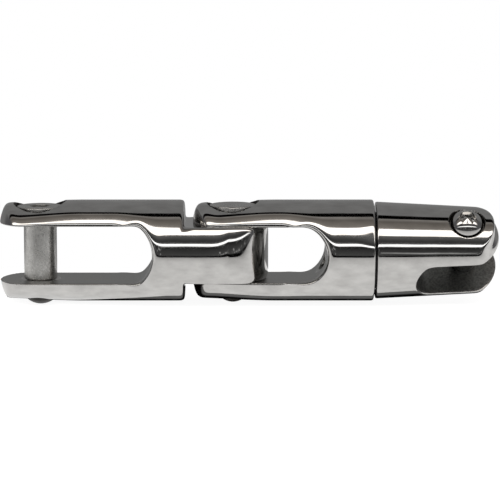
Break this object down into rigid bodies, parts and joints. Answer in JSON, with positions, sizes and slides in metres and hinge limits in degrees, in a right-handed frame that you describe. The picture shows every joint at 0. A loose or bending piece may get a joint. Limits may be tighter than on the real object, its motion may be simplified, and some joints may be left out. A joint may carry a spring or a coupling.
{
  "type": "anchor swivel",
  "caption": "Polished stainless connector between an anchor shank and chain: a pinned fork, a hinged fork and a jaw that turns on a stud.",
  "frame": {"origin": "on the anchor pin's axis, midway between the fork arms", "axes": "+X along the connector from the anchor pin towards the chain, +Z along the anchor pin towards its head, +Y to complete a right-handed frame"},
  "size_m": [0.1377, 0.028, 0.0289],
  "materials": {
    "polished_steel": "mirror-polished cast stainless steel",
    "satin_steel": "turned stainless steel, satin",
    "black_acetal": "black acetal",
    "bronze": "plain bronze"
  },
  "bodies": {
    "anchor_end": {"anchor_fork": "polished_steel"},
    "anchor_pin": {"anchor_pin": "satin_steel"},
    "swivel_link": {"swivel_fork": "polished_steel", "joint_pin": "satin_steel", "seam_washer": "black_acetal"},
    "jaw": {"chain_jaw": "polished_steel", "swivel_stud": "satin_steel", "stud_lock_pin": "satin_steel", "thrust_washer": "bronze"},
    "chain_pin": {"chain_pin": "satin_steel", "chain_pin_washer": "satin_steel"}
  },
  "joints": [
    {"name": "anchor_pin_draw", "type": "slide", "parent": "anchor_end", "child": "anchor_pin", "axis": [0, 0, 1], "range_m": [0, 0.036]},
    {"name": "fork_hinge", "type": "hinge", "parent": "anchor_end", "child": "swivel_link", "pos_m": [0.0533, 0, 0], "axis": [0, 0, 1], "range_deg": [-90, 90]},
    {"name": "jaw_swivel", "type": "hinge", "parent": "swivel_link", "child": "jaw", "pos_m": [0.0927, 0, 0], "axis": [1, 0, 0], "continuous": true},
    {"name": "chain_pin_draw", "type": "slide", "parent": "jaw", "child": "chain_pin", "axis": [0, -0.6561, 0.7547], "range_m": [0, 0.028]}
  ]
}
